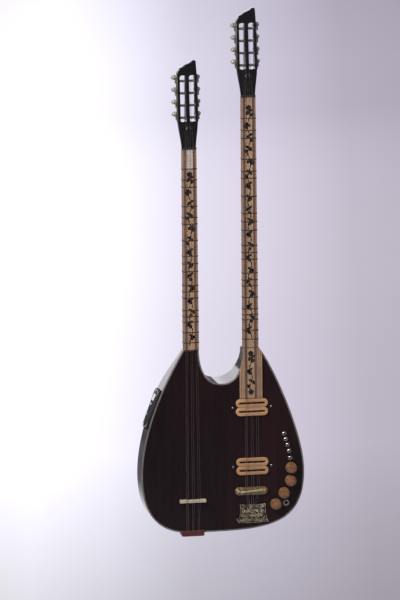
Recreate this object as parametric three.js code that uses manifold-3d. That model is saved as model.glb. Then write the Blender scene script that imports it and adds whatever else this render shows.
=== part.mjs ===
// Double-neck electro-acoustic long-necked lute, in millimetres.
// +Z runs up the necks, -Y is the playing side, +X is to the right as the front is looked at.
// The origin lies on the tail block's end face, on the left neck's centre line, and Y = 0 is the
// plane of the soundboard's face.
import * as THREE from "three";
import { mergeVertices } from "three/addons/utils/BufferGeometryUtils.js";
import Module from "manifold-3d";

const wasm = await Module();
wasm.setup();

// ---------------------------------------------------------------- driving dimensions
const GAP = 0.3; // clearance between touching pieces
const NECK_PITCH = 123.7; // left neck's centre line to the right neck's
const NECK_ROOT = 388; // height where both necks leave the body
const FINGERBOARD = { front: -2.8, back: -GAP, underNut: 2 };

const NECKS = {
  left: { x: 0, nut: 806, tenonFoot: 330 },
  right: { x: NECK_PITCH, nut: 909, tenonFoot: 296 },
};
const NECK = { nutWidth: 29.8, rootWidth: 32.4, nutDepth: 19, rootDepth: 22 };
const TENON = { width: 24, front: 4.6, back: 19 };

const BODY = {
  centreX: 62,
  topThickness: 4,
  sideThickness: 5,
  backThickness: 3.5,
  edgeDepth: 56, // depth of the sides at the outer edge
  archRise: 36, // how much further the back arches out in the middle
  archHalfWidth: 125,
  rootShare: 0.32, // share of the full depth left at the necks
  taperFrom: 302,
  taperTo: 392,
};

const HEAD = {
  thickness: 16,
  tilt: THREE.MathUtils.degToRad(-4), // leans back from the fingerboard's plane
  halfWidth: 20,
  rootHalfWidth: 14.6,
  slotInner: 3.7,
  slotOuter: 15.4,
  slotFoot: 54,
  slotTop: 149,
};

const TUNER = {
  first: 62, // height of the lowest roller above the nut
  pitch: 25,
  count: 4,
  depth: 8, // roller's axis behind the head's face
  rollerRadius: 3.1,
  rollerInner: 1.3,
  boreRadius: 3.45,
  gearRadius: 4.8,
  gearFrom: 22.2,
  gearTo: 24.4,
  plateFrom: 20.3,
  plateTo: 21.4,
  plateFront: 1.5,
  plateBack: 14.8,
  lugTo: 25.6,
  wormRadius: 1.5,
  wormFrom: 3.7,
  wormTo: 12.3,
  shaftRadius: 1.1,
  shaftBoreRadius: 1.6,
  shaftFront: 1.2,
  buttonFrom: 17,
  buttonLength: 12,
  buttonHalfWidth: 7.3,
  buttonHalfHeight: 5.6,
};
TUNER.wormOffset = TUNER.gearRadius + TUNER.wormRadius + 0.2;

const PICKUP = {
  x: NECK_PITCH + 1.5,
  neckZ: 263,
  bridgeZ: 140,
  coilLength: 66.6,
  coilWidth: 17.6,
  front: -4.2,
  slotLength: 50,
  slotWidth: 2.8,
  slotDepth: 1.2,
  baseFront: 4 + GAP,
  baseBack: 15,
  earHalfLength: 44,
  earHalfWidth: 6,
};

const KNOB = { radius: 11.6, height: 14, shaftRadius: 3, shaftBack: 14, holeRadius: 3.5 };
const KNOB_PLACES = [
  [205.5, 133.5],
  [204, 107.2],
  [190, 82],
  [172.7, 59.4],
];
const SWITCH = { pivotY: 1, holeRadius: 3.4, throwAngle: THREE.MathUtils.degToRad(12) };
const SWITCH_PLACES = [
  [192, 205],
  [195.3, 193.2],
  [199, 181.4],
  [202, 168.4],
  [204.3, 153.4],
];
const JACK = { x: 195.2, z: 60.6, flangeRadius: 6.3, sleeveRadius: 4.6, boreRadius: 3.25, back: 20 };

const FLOATING_BRIDGE = { z: 73.5, halfLength: 27, foot: 7.5, crown: 5.5, height: 9.6 };
const FIXED_BRIDGE = { x: 122.5, z: 89, halfLength: 34, halfWidth: 8.4, plate: 3.2, saddleTop: -8.6 };
const TAILPIECE = { x: 125.5, foot: 23, top: 62, footHalf: 33, topHalf: 27, thickness: 2.4 };
const TAIL_BLOCK = { halfWidth: 23.5, front: -4, back: 18, lip: 12.5 };
const PREAMP = {
  from: 221.5,
  to: 303.5,
  front: 4.8,
  back: 50,
  proud: 3.2,
  bulge: 3.4, // how much further the panel's middle stands out
  corner: 8,
  housingDepth: 24,
};

// ---------------------------------------------------------------- helpers
/** A closed three.js geometry as a solid that can be joined and cut. */
function solid(geometry) {
  const bare = geometry.index ? geometry.toNonIndexed() : geometry.clone();
  for (const name of Object.keys(bare.attributes)) {
    if (name !== "position") bare.deleteAttribute(name);
  }
  const merged = mergeVertices(bare, 1e-3);
  return new wasm.Manifold(
    new wasm.Mesh({
      numProp: 3,
      vertProperties: new Float32Array(merged.attributes.position.array),
      triVerts: new Uint32Array(merged.index.array),
    }),
  );
}

/** The other way round: a solid as a three.js geometry. */
function geometryOf(shape) {
  const mesh = shape.getMesh();
  const positions = new Float32Array(mesh.numVert * 3);
  for (let i = 0; i < mesh.numVert; i++) {
    for (let k = 0; k < 3; k++) {
      positions[3 * i + k] = mesh.vertProperties[i * mesh.numProp + k];
    }
  }
  const geometry = new THREE.BufferGeometry();
  geometry.setAttribute("position", new THREE.BufferAttribute(positions, 3));
  geometry.setIndex(new THREE.BufferAttribute(new Uint32Array(mesh.triVerts), 1));
  geometry.computeVertexNormals();
  return geometry;
}

/** A shape drawn in the X-Z plane, extruded from y0 back to y1. */
function slab(shape, y0, y1, curveSegments = 8) {
  const geometry = new THREE.ExtrudeGeometry(shape, {
    depth: y1 - y0,
    bevelEnabled: false,
    curveSegments,
  });
  return geometry.rotateX(Math.PI / 2).translate(0, y1, 0);
}

function box(x0, x1, y0, y1, z0, z1) {
  return new THREE.BoxGeometry(x1 - x0, y1 - y0, z1 - z0).translate(
    (x0 + x1) / 2,
    (y0 + y1) / 2,
    (z0 + z1) / 2,
  );
}

/** A cylinder along Y from y0 to y1. */
function rodY(radius, y0, y1, x, z, sides) {
  return new THREE.CylinderGeometry(radius, radius, y1 - y0, sides).translate(x, (y0 + y1) / 2, z);
}

/** A cylinder along X from x0 to x1. */
function rodX(radius, x0, x1, y, z, sides) {
  return new THREE.CylinderGeometry(radius, radius, Math.abs(x1 - x0), sides)
    .rotateZ(Math.PI / 2)
    .translate((x0 + x1) / 2, y, z);
}

/** Rings of points, each the same length, skinned into one closed geometry. */
function loft(rings) {
  const n = rings[0].length;
  const positions = rings.flat().flatMap((p) => [p.x, p.y, p.z]);
  const index = [];
  for (let r = 0; r + 1 < rings.length; r++) {
    for (let i = 0; i < n; i++) {
      const a = r * n + i;
      const b = r * n + ((i + 1) % n);
      index.push(a, b, a + n, b, b + n, a + n);
    }
  }
  const last = (rings.length - 1) * n;
  for (let i = 1; i + 1 < n; i++) {
    index.push(0, i + 1, i);
    index.push(last, last + i, last + i + 1);
  }
  const geometry = new THREE.BufferGeometry();
  geometry.setAttribute("position", new THREE.BufferAttribute(new Float32Array(positions), 3));
  geometry.setIndex(index);
  return geometry;
}

function material(color, roughness, metalness = 0) {
  return new THREE.MeshStandardMaterial({ color, roughness, metalness });
}

const MATERIALS = {
  darkWood: material(0x1c1315, 0.18),
  blackWood: material(0x121216, 0.16),
  maple: material(0xb39673, 0.3),
  bone: material(0xb9a791, 0.5),
  redWood: material(0x5a2620, 0.4),
  steel: material(0xc8c6c4, 0.25, 1),
  gold: material(0xc9a45c, 0.3, 1),
  tailMetal: material(0x8f8672, 0.4, 0.9),
  pickupWood: material(0xa87e55, 0.45),
  knobWood: material(0x8a5a38, 0.35),
  plastic: material(0x16161a, 0.4),
};

const instrument = new THREE.Group();

/** Adds one named piece to a group. */
function add(group, name, geometry, finish) {
  const mesh = new THREE.Mesh(geometry, finish);
  mesh.name = name;
  group.add(mesh);
  return mesh;
}

// ---------------------------------------------------------------- the body
/** The body's outline in the X-Z plane: shoulders, round tail and the round bay between the necks. */
function bodyOutline() {
  const half = NECK.rootWidth / 2;
  const shape = new THREE.Shape();
  shape.moveTo(-half, NECK_ROOT);
  shape.bezierCurveTo(-42.5, 343, -105.5, 234, -105.5, 126);
  shape.bezierCurveTo(-105.5, 0, -16, 6.5, 10, 6.5);
  shape.bezierCurveTo(152, 6.5, 233.5, 6.5, 233.5, 129);
  shape.bezierCurveTo(233.5, 203, 170, 352, NECK_PITCH + half, NECK_ROOT);
  shape.lineTo(NECK_PITCH - half, NECK_ROOT);
  shape.bezierCurveTo(107, 356, 102, 314, 64.5, 314);
  shape.bezierCurveTo(50, 314, 17, 320, half, NECK_ROOT);
  return shape;
}

/** The outline moved inwards by a distance, or outwards where it is negative. */
function offsetOutline(distance, divisions = 14) {
  const points = bodyOutline().getPoints(divisions);
  if (points[0].distanceTo(points.at(-1)) < 1e-6) points.pop();
  const area = THREE.ShapeUtils.area(points);
  const side = Math.sign(area);
  const moved = points.map((point, i) => {
    const before = points.at(i - 1);
    const after = points[(i + 1) % points.length];
    const a = point.clone().sub(before).normalize();
    const b = after.clone().sub(point).normalize();
    const normal = new THREE.Vector2(-(a.y + b.y), a.x + b.x).normalize().multiplyScalar(side);
    const spread = Math.max(0.5, Math.sqrt((1 + a.dot(b)) / 2));
    return point.clone().addScaledVector(normal, distance / spread);
  });
  return new THREE.Shape(moved);
}

/** How far the back stands behind the face at a place. */
function bodyDepth(x, z) {
  const across = Math.min(1, Math.abs(x - BODY.centreX) / BODY.archHalfWidth);
  const arch = BODY.edgeDepth + BODY.archRise * Math.cos((Math.PI / 2) * across) ** 2;
  const rise = THREE.MathUtils.smoothstep(z, BODY.taperFrom, BODY.taperTo);
  const tail = 1 - THREE.MathUtils.smoothstep(z, -10, 70);
  return arch * (1 - (1 - BODY.rootShare) * rise - 0.1 * tail);
}

/** Everything from in front of the face back to the body's depth, less a distance. */
function underBack(less) {
  const from = { x: -125, z: -15 };
  const size = { x: 372, z: 420 };
  const cells = { x: 14, z: 16 };
  const grid = new THREE.PlaneGeometry(size.x, size.z, cells.x, cells.z);
  const at = grid.attributes.position;
  const front = [];
  const back = [];
  for (let i = 0; i < at.count; i++) {
    const x = at.getX(i) + from.x + size.x / 2;
    const z = at.getY(i) + from.z + size.z / 2;
    front.push(x, -20, z);
    back.push(x, bodyDepth(x, z) - less, z);
  }
  const index = [];
  const n = at.count;
  const faces = Array.from(grid.index.array);
  for (let i = 0; i < faces.length; i += 3) {
    index.push(faces[i], faces[i + 1], faces[i + 2]);
    index.push(n + faces[i], n + faces[i + 2], n + faces[i + 1]);
  }
  const columns = cells.x + 1;
  const rows = cells.z + 1;
  const edge = [];
  for (let c = 0; c < columns - 1; c++) edge.push(c);
  for (let r = 0; r < rows - 1; r++) edge.push(r * columns + columns - 1);
  for (let c = columns - 1; c > 0; c--) edge.push((rows - 1) * columns + c);
  for (let r = rows - 1; r > 0; r--) edge.push(r * columns);
  edge.forEach((a, i) => {
    const b = edge[(i + 1) % edge.length];
    index.push(a, b, n + a, b, n + b, n + a);
  });
  const geometry = new THREE.BufferGeometry();
  geometry.setAttribute("position", new THREE.BufferAttribute(new Float32Array([...front, ...back]), 3));
  geometry.setIndex(index);
  return geometry;
}

/** Two coils side by side, as one outline, grown by a margin. */
function coilPairOutline(z, margin) {
  const r = PICKUP.coilWidth / 2;
  const reach = PICKUP.coilLength / 2 - r;
  const grown = r + margin;
  const waist = Math.sqrt(grown * grown - r * r);
  const turn = Math.atan2(r, waist);
  const shape = new THREE.Shape();
  shape.absarc(PICKUP.x + reach, z + r, grown, -turn, Math.PI / 2, false);
  shape.absarc(PICKUP.x - reach, z + r, grown, Math.PI / 2, Math.PI + turn, false);
  shape.absarc(PICKUP.x - reach, z - r, grown, Math.PI - turn, 1.5 * Math.PI, false);
  shape.absarc(PICKUP.x + reach, z - r, grown, -Math.PI / 2, turn, false);
  return shape;
}

function roundHole(x, z, radius) {
  return new THREE.Path().absarc(x, z, radius, 0, 2 * Math.PI, true);
}

function soundboard() {
  const shape = offsetOutline(0);
  for (const z of [PICKUP.neckZ, PICKUP.bridgeZ]) {
    shape.holes.push(new THREE.Path(coilPairOutline(z, 0.5).getPoints(5)));
  }
  for (const [x, z] of KNOB_PLACES) shape.holes.push(roundHole(x, z, KNOB.holeRadius));
  for (const [x, z] of SWITCH_PLACES) shape.holes.push(roundHole(x, z, SWITCH.holeRadius));
  shape.holes.push(roundHole(JACK.x, JACK.z, JACK.sleeveRadius + 0.4));
  return slab(shape, 0, BODY.topThickness, 5);
}

/** The preamp's place on the left side: the middle of its stretch and the side's slope there. */
function preampFrame() {
  const wall = offsetOutline(0, 60).getPoints();
  const onWall = wall.filter((p) => p.x < 0 && p.y > PREAMP.from && p.y < PREAMP.to);
  const top = onWall[0];
  const foot = onWall.at(-1);
  return {
    x: (top.x + foot.x) / 2,
    z: (top.y + foot.y) / 2,
    length: top.distanceTo(foot),
    slope: Math.atan2(top.y - foot.y, top.x - foot.x),
  };
}

/** The preamp's box through the side, grown by a margin. */
function preampHousing(margin) {
  const frame = preampFrame();
  const along = frame.length - 12 + 2 * margin;
  const front = PREAMP.front + 4 - margin;
  const back = PREAMP.back - 4 + margin;
  const outward = 8; // runs on past the side's face
  return new THREE.BoxGeometry(along, back - front, PREAMP.housingDepth + outward + margin)
    .translate(0, (front + back) / 2, (outward - margin - PREAMP.housingDepth) / 2)
    .rotateY(-frame.slope)
    .translate(frame.x, 0, frame.z);
}

function tenon(neck, margin) {
  return box(
    neck.x - TENON.width / 2 - margin,
    neck.x + TENON.width / 2 + margin,
    TENON.front - margin,
    TENON.back + margin,
    neck.tenonFoot,
    NECK_ROOT + 4,
  );
}

function bodySides() {
  const outer = offsetOutline(0);
  const inner = offsetOutline(BODY.sideThickness);
  const front = BODY.topThickness + GAP;
  let sides = solid(slab(outer, front, 100)).subtract(solid(slab(inner, front - 1, 101)));
  sides = sides.intersect(solid(underBack(BODY.backThickness + GAP)));
  for (const neck of Object.values(NECKS)) sides = sides.subtract(solid(tenon(neck, 0.4)));
  return geometryOf(sides.subtract(solid(preampHousing(0.5))));
}

function bodyBack() {
  const whole = solid(slab(offsetOutline(0), 8, 110)).intersect(solid(underBack(0)));
  return geometryOf(whole.subtract(solid(underBack(BODY.backThickness))));
}

add(instrument, "soundboard", soundboard(), MATERIALS.darkWood);
add(instrument, "body_sides", bodySides(), MATERIALS.darkWood);
add(instrument, "body_back", bodyBack(), MATERIALS.darkWood);

// ---------------------------------------------------------------- necks and heads
/** A cross-section, flat in front: round behind where power is 1, squarer as it falls. */
function sectionRing(x, z, half, depth, power, sides = 10) {
  const straight = 5; // the sides run square to the face before they turn
  const ring = [new THREE.Vector3(x - half, 0, z), new THREE.Vector3(x + half, 0, z)];
  for (let i = 0; i <= sides; i++) {
    const turn = (Math.PI * i) / sides;
    const across = Math.sign(Math.cos(turn)) * Math.abs(Math.cos(turn)) ** power;
    const behind = i % sides === 0 ? 0 : Math.sin(turn) ** power;
    ring.push(new THREE.Vector3(x + half * across, straight + (depth - straight) * behind, z));
  }
  return ring;
}

function neckRing(neck, z) {
  const share = (z - NECK_ROOT) / (neck.nut - NECK_ROOT);
  const half = THREE.MathUtils.lerp(NECK.rootWidth, NECK.nutWidth, share) / 2;
  const depth = THREE.MathUtils.lerp(NECK.rootDepth, NECK.nutDepth, share);
  return sectionRing(neck.x, z, half, depth, 1);
}

/** What a head keeps of its slab: round behind at the nut, square by the first tuner. */
function headEnvelope() {
  const { halfWidth: w, rootHalfWidth: r, thickness } = HEAD;
  return loft([
    sectionRing(0, -2, r, thickness, 0.9),
    sectionRing(0, 50, w + 0.4, thickness - 0.1, 0.14),
    sectionRing(0, 190, w + 0.4, thickness - 0.1, 0.14),
  ]);
}

/** The head's outline above the nut, its crown rising to a point on the right. */
function headOutline() {
  const { halfWidth: w, rootHalfWidth: r } = HEAD;
  const shape = new THREE.Shape();
  shape.moveTo(-r, -1);
  shape.lineTo(r, -1);
  shape.bezierCurveTo(r + 1, 18, w - 1, 34, w, 50);
  shape.lineTo(w, 146);
  shape.bezierCurveTo(w - 0.5, 158, 18.8, 166, 18.4, 176);
  shape.bezierCurveTo(18, 180.5, 13, 181, 9, 176.5);
  shape.bezierCurveTo(5, 172, -2, 172.5, -6.5, 168.5);
  shape.bezierCurveTo(-10, 164, -15, 166, -18, 160);
  shape.bezierCurveTo(-20, 156, -w, 152, -w, 146);
  shape.lineTo(-w, 50);
  shape.bezierCurveTo(-w + 1, 34, -r - 1, 18, -r, -1);
  return shape;
}

function slotShape(side) {
  const near = side * HEAD.slotInner;
  const far = side * HEAD.slotOuter;
  const middle = (near + far) / 2;
  const shape = new THREE.Shape();
  shape.moveTo(near, HEAD.slotFoot);
  shape.lineTo(near, HEAD.slotTop - 4);
  shape.quadraticCurveTo(near, HEAD.slotTop, middle, HEAD.slotTop);
  shape.quadraticCurveTo(far, HEAD.slotTop, far, HEAD.slotTop - 4);
  shape.lineTo(far, HEAD.slotFoot);
  return shape;
}

function rollerHeights() {
  return Array.from({ length: TUNER.count }, (_, i) => TUNER.first + TUNER.pitch * i);
}

/** A neck with its tenon and its slotted head, worked from one laminated blank. */
function neckBlank(neck) {
  const stations = [0, 0.5, 1].map((t) => THREE.MathUtils.lerp(NECK_ROOT + GAP, neck.nut, t));
  const shaft = solid(loft(stations.map((z) => neckRing(neck, z))));
  const lean = (geometry) => solid(geometry.rotateX(HEAD.tilt).translate(neck.x, 0, neck.nut));
  let head = lean(slab(headOutline(), 0, HEAD.thickness, 5)).intersect(lean(headEnvelope()));
  for (const side of [-1, 1]) {
    head = head.subtract(lean(slab(slotShape(side), -5, HEAD.thickness + 5, 5)));
  }
  for (const z of rollerHeights()) {
    for (const side of [-1, 1]) {
      const bore = rodX(TUNER.boreRadius, side * 0.9, side * 30, TUNER.depth, z, 12);
      head = head.subtract(lean(bore));
    }
  }
  return geometryOf(shaft.add(head).add(solid(tenon(neck, 0))));
}

/** The playing surface of one neck; the right one runs on over the soundboard as a wider strip. */
function fingerboard(neck, tongue) {
  const shape = new THREE.Shape();
  const foot = NECK_ROOT + GAP;
  shape.moveTo(neck.x - NECK.rootWidth / 2, foot);
  shape.lineTo(neck.x + NECK.rootWidth / 2, foot);
  shape.lineTo(neck.x + NECK.nutWidth / 2, neck.nut - FINGERBOARD.underNut);
  shape.lineTo(neck.x - NECK.nutWidth / 2, neck.nut - FINGERBOARD.underNut);
  const board = slab(shape, FINGERBOARD.front, FINGERBOARD.back);
  if (!tongue) return board;
  const strip = box(
    neck.x - tongue.halfWidth,
    neck.x + tongue.halfWidth,
    FINGERBOARD.front,
    FINGERBOARD.back,
    tongue.foot,
    NECK_ROOT + 1,
  );
  const overBody = slab(offsetOutline(-0.01), -10, 10);
  const reach = NECK.rootWidth / 2 - 0.4;
  const joint = box(
    neck.x - reach,
    neck.x + reach,
    FINGERBOARD.front,
    FINGERBOARD.back,
    NECK_ROOT - 4,
    NECK_ROOT + 4,
  );
  return geometryOf(
    solid(strip).intersect(solid(overBody)).add(solid(joint)).add(solid(board)),
  );
}

add(instrument, "left_neck", neckBlank(NECKS.left), MATERIALS.blackWood);
add(instrument, "right_neck", neckBlank(NECKS.right), MATERIALS.blackWood);
add(instrument, "left_fingerboard", fingerboard(NECKS.left), MATERIALS.maple);
add(
  instrument,
  "right_fingerboard",
  fingerboard(NECKS.right, { halfWidth: 23.4, foot: 282 }),
  MATERIALS.maple,
);

// ---------------------------------------------------------------- tuning machines
/** A roller that one string winds on, with its worm wheel outside the head. */
function roller(side, z) {
  const reach = rodX(TUNER.rollerRadius, side * TUNER.rollerInner, side * 23.8, TUNER.depth, z, 10);
  const wheel = rodX(TUNER.gearRadius, side * TUNER.gearFrom, side * TUNER.gearTo, TUNER.depth, z, 14);
  return geometryOf(solid(reach).add(solid(wheel)));
}

/** A worm and its shaft with the button that the player turns. */
function key(side, z) {
  const x = side * ((TUNER.gearFrom + TUNER.gearTo) / 2);
  const height = z + TUNER.wormOffset;
  const shaft = rodY(TUNER.shaftRadius, TUNER.shaftFront, TUNER.buttonFrom + 2, x, height, 6);
  const worm = rodY(TUNER.wormRadius, TUNER.wormFrom, TUNER.wormTo, x, height, 8);
  const button = new THREE.SphereGeometry(1, 10, 6)
    .scale(TUNER.buttonHalfWidth, TUNER.buttonLength / 2, TUNER.buttonHalfHeight)
    .translate(x, TUNER.buttonFrom + TUNER.buttonLength / 2, height);
  return geometryOf(solid(shaft).add(solid(worm)).add(solid(button)));
}

/** The plate that carries four machines along one side of a head, with a lug at each end of each worm. */
function machinePlate(side) {
  const span = (a, b) => (side > 0 ? [a, b] : [-b, -a]);
  const heights = rollerHeights();
  const x = side * ((TUNER.gearFrom + TUNER.gearTo) / 2);
  let plate = solid(
    box(
      ...span(TUNER.plateFrom, TUNER.plateTo),
      TUNER.plateFront,
      TUNER.plateBack,
      heights[0] - 10,
      heights.at(-1) + 13,
    ),
  );
  for (const z of heights) {
    const worm = z + TUNER.wormOffset;
    const lugs = [
      [TUNER.plateFront + 0.6, TUNER.wormFrom - 0.4],
      [TUNER.wormTo + 0.4, TUNER.plateBack - 1],
    ];
    for (const [y0, y1] of lugs) {
      const [x0, x1] = span(TUNER.plateTo - 0.5, TUNER.lugTo);
      plate = plate.add(solid(box(x0, x1, y0, y1, worm - 2.6, worm + 2.6)));
    }
    plate = plate.subtract(solid(rodY(TUNER.shaftBoreRadius, 0, 20, x, worm, 6)));
    const bore = rodX(TUNER.boreRadius, side * 20, side * 22.9, TUNER.depth, z, 12);
    plate = plate.subtract(solid(bore));
  }
  return geometryOf(plate);
}

for (const [name, neck] of Object.entries(NECKS)) {
  const head = new THREE.Group();
  head.position.set(neck.x, 0, neck.nut);
  head.rotation.x = HEAD.tilt;
  instrument.add(head);
  for (const [sideName, side] of [["bass", -1], ["treble", 1]]) {
    add(head, `${name}_${sideName}_machine_plate`, machinePlate(side), MATERIALS.steel);
    rollerHeights().forEach((z, i) => {
      const place = `${name}_${sideName}_${i + 1}`;
      add(head, `string_roller_${place}`, roller(side, z), MATERIALS.steel);
      add(head, `tuning_key_${place}`, key(side, z), MATERIALS.steel);
    });
  }
}

// ---------------------------------------------------------------- bridges, tailpiece and tail block
/** The left neck's bridge: a loose bar, narrower at its crown, that only the strings hold down. */
function floatingBridge() {
  const { halfLength, foot, crown, height, z } = FLOATING_BRIDGE;
  const section = new THREE.Shape();
  section.moveTo(-foot / 2, 0);
  section.lineTo(foot / 2, 0);
  section.lineTo(crown / 2, height);
  section.lineTo(-crown / 2, height);
  return new THREE.ExtrudeGeometry(section, { depth: 2 * halfLength, bevelEnabled: false })
    .rotateX(Math.PI)
    .rotateY(-Math.PI / 2)
    .translate(-halfLength, -GAP, z);
}

/** The right neck's bridge: a plate with round ends, a post at each end and a slanted saddle. */
function fixedBridge() {
  const { x, z, halfLength, halfWidth, plate, saddleTop } = FIXED_BRIDGE;
  const outline = new THREE.Shape();
  outline.absarc(x + halfLength - halfWidth, z, halfWidth, -Math.PI / 2, Math.PI / 2, false);
  outline.absarc(x - halfLength + halfWidth, z, halfWidth, Math.PI / 2, 1.5 * Math.PI, false);
  const base = solid(slab(outline, -plate - GAP, -GAP, 6));
  const saddle = new THREE.BoxGeometry(46, -saddleTop - plate + 1, 3)
    .rotateY(THREE.MathUtils.degToRad(-3.6))
    .translate(x, (saddleTop - plate + 1) / 2, z);
  let bridge = base.add(solid(saddle));
  for (const end of [-1, 1]) {
    bridge = bridge.add(solid(rodY(4.4, -6.5, -plate + 0.5, x + end * 27.4, z, 12)));
  }
  return geometryOf(bridge);
}

/** The right neck's tailpiece: a flared plate let down on the soundboard. */
function tailpiece() {
  const { x, foot, top, footHalf, topHalf, thickness } = TAILPIECE;
  const shape = new THREE.Shape();
  shape.moveTo(x - footHalf, foot);
  shape.quadraticCurveTo(x, foot - 2.5, x + footHalf, foot);
  shape.quadraticCurveTo(x + topHalf - 1.5, foot + 14, x + topHalf, top);
  shape.quadraticCurveTo(x, top - 3.5, x - topHalf, top);
  shape.quadraticCurveTo(x - topHalf + 1.5, foot + 14, x - footHalf, foot);
  return slab(shape, -thickness - GAP, -GAP, 6);
}

/** The left neck's tail block, fitted round the body's end with a lip over the face. */
function tailBlock() {
  const { halfWidth, front, back, lip } = TAIL_BLOCK;
  const shape = new THREE.Shape();
  shape.moveTo(-halfWidth, lip);
  shape.lineTo(-halfWidth, 3);
  shape.quadraticCurveTo(-halfWidth, 0, -halfWidth + 4, 0);
  shape.lineTo(halfWidth - 4, 0);
  shape.quadraticCurveTo(halfWidth, 0, halfWidth, 3);
  shape.lineTo(halfWidth, lip);
  const block = solid(slab(shape, front, back, 3));
  return geometryOf(block.subtract(solid(slab(offsetOutline(-GAP), -GAP, back + 5))));
}

add(instrument, "floating_bridge", floatingBridge(), MATERIALS.bone);
add(instrument, "fixed_bridge", fixedBridge(), MATERIALS.gold);
add(instrument, "tailpiece", tailpiece(), MATERIALS.tailMetal);
add(instrument, "tail_block", tailBlock(), MATERIALS.redWood);

// ---------------------------------------------------------------- pickups and controls
/** A humbucking pickup: two bladed coils on one base, whose ears sit under the soundboard. */
function pickup(z) {
  let body = solid(slab(coilPairOutline(z, 0.02), PICKUP.front, PICKUP.baseFront + 1, 5));
  const halfWidth = PICKUP.coilWidth;
  const base = box(
    PICKUP.x - PICKUP.coilLength / 2,
    PICKUP.x + PICKUP.coilLength / 2,
    PICKUP.baseFront + 0.5,
    PICKUP.baseBack,
    z - halfWidth,
    z + halfWidth,
  );
  const ears = box(
    PICKUP.x - PICKUP.earHalfLength,
    PICKUP.x + PICKUP.earHalfLength,
    PICKUP.baseBack - 2,
    PICKUP.baseBack,
    z - PICKUP.earHalfWidth,
    z + PICKUP.earHalfWidth,
  );
  body = body.add(solid(base)).add(solid(ears));
  for (const side of [-1, 1]) {
    const middle = z + (side * PICKUP.coilWidth) / 2;
    const slot = box(
      PICKUP.x - PICKUP.slotLength / 2,
      PICKUP.x + PICKUP.slotLength / 2,
      PICKUP.front - 1,
      PICKUP.front + PICKUP.slotDepth,
      middle - PICKUP.slotWidth / 2,
      middle + PICKUP.slotWidth / 2,
    );
    body = body.subtract(solid(slot));
  }
  return geometryOf(body);
}

/** A knob with its shaft, turned about Y, as a profile from the tip of the knob back. */
function knob(x, z) {
  const { radius, height, shaftRadius, shaftBack } = KNOB;
  const profile = [
    [0, height],
    [radius - 2, height],
    [radius - 0.6, height - 1.4],
    [radius, 0.8],
    [shaftRadius, 0.8],
    [shaftRadius, -shaftBack],
    [0, -shaftBack],
  ].reverse();
  return new THREE.LatheGeometry(
    profile.map(([r, out]) => new THREE.Vector2(r, out)),
    20,
  )
    .rotateX(Math.PI)
    .translate(x, 0, z);
}

/** A toggle switch's lever, thrown up at rest. */
function switchLever(x, z) {
  const profile = [
    [0, -5],
    [1.2, -5],
    [1.2, 0],
    [1.1, 2],
    [1.7, 11],
    [1.2, 12.8],
    [0, 13.2],
  ];
  return new THREE.LatheGeometry(
    profile.map(([r, out]) => new THREE.Vector2(r, out)),
    8,
  )
    .rotateX(Math.PI - SWITCH.throwAngle)
    .translate(x, SWITCH.pivotY, z);
}

/** The output jack: a threaded sleeve through the soundboard under a ring nut. */
function outputJack() {
  const { x, z, flangeRadius, sleeveRadius, boreRadius, back } = JACK;
  const ring = solid(rodY(flangeRadius, -2.6, -GAP, x, z, 6));
  const sleeve = solid(rodY(sleeveRadius, -1, back, x, z, 12));
  return geometryOf(ring.add(sleeve).subtract(solid(rodY(boreRadius, -5, back + 5, x, z, 12))));
}

/** The preamp: a swelling panel along the left side, with its housing let into the side. */
function preamp() {
  const { front, back, corner, proud, bulge } = PREAMP;
  const frame = preampFrame();
  const reach = frame.length / 2;
  const profile = new THREE.Shape();
  profile.moveTo(-reach, -PREAMP.housingDepth - 1);
  profile.lineTo(reach, -PREAMP.housingDepth - 1);
  profile.lineTo(reach, proud);
  profile.quadraticCurveTo(0, proud + 2 * bulge, -reach, proud);
  const face = new THREE.Shape();
  face.absarc(reach - corner, front + corner, corner, -Math.PI / 2, 0, false);
  face.absarc(reach - corner, back - corner, corner, 0, Math.PI / 2, false);
  face.absarc(-reach + corner, back - corner, corner, Math.PI / 2, Math.PI, false);
  face.absarc(-reach + corner, front + corner, corner, Math.PI, 1.5 * Math.PI, false);
  const place = (geometry) => solid(geometry.rotateY(-frame.slope).translate(frame.x, 0, frame.z));
  const swell = place(slab(profile, front, back, 10));
  const window = place(
    new THREE.ExtrudeGeometry(face, { depth: 60, bevelEnabled: false, curveSegments: 4 })
      .translate(0, 0, -40),
  );
  const inner = solid(slab(offsetOutline(-GAP), front - 1, back + 1));
  const panel = swell.intersect(window).subtract(inner);
  return geometryOf(panel.add(solid(preampHousing(0)).intersect(swell)));
}

add(instrument, "neck_pickup", pickup(PICKUP.neckZ), MATERIALS.pickupWood);
add(instrument, "bridge_pickup", pickup(PICKUP.bridgeZ), MATERIALS.pickupWood);
KNOB_PLACES.forEach(([x, z], i) => {
  add(instrument, `control_knob_${i + 1}`, knob(x, z), MATERIALS.knobWood);
});
SWITCH_PLACES.forEach(([x, z], i) => {
  add(instrument, `toggle_lever_${i + 1}`, switchLever(x, z), MATERIALS.steel);
});
add(instrument, "output_jack", outputJack(), MATERIALS.steel);
add(instrument, "preamp", preamp(), MATERIALS.plastic);

export default instrument;
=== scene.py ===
import math

import bmesh
import bpy
from mathutils import Matrix, Vector


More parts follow.
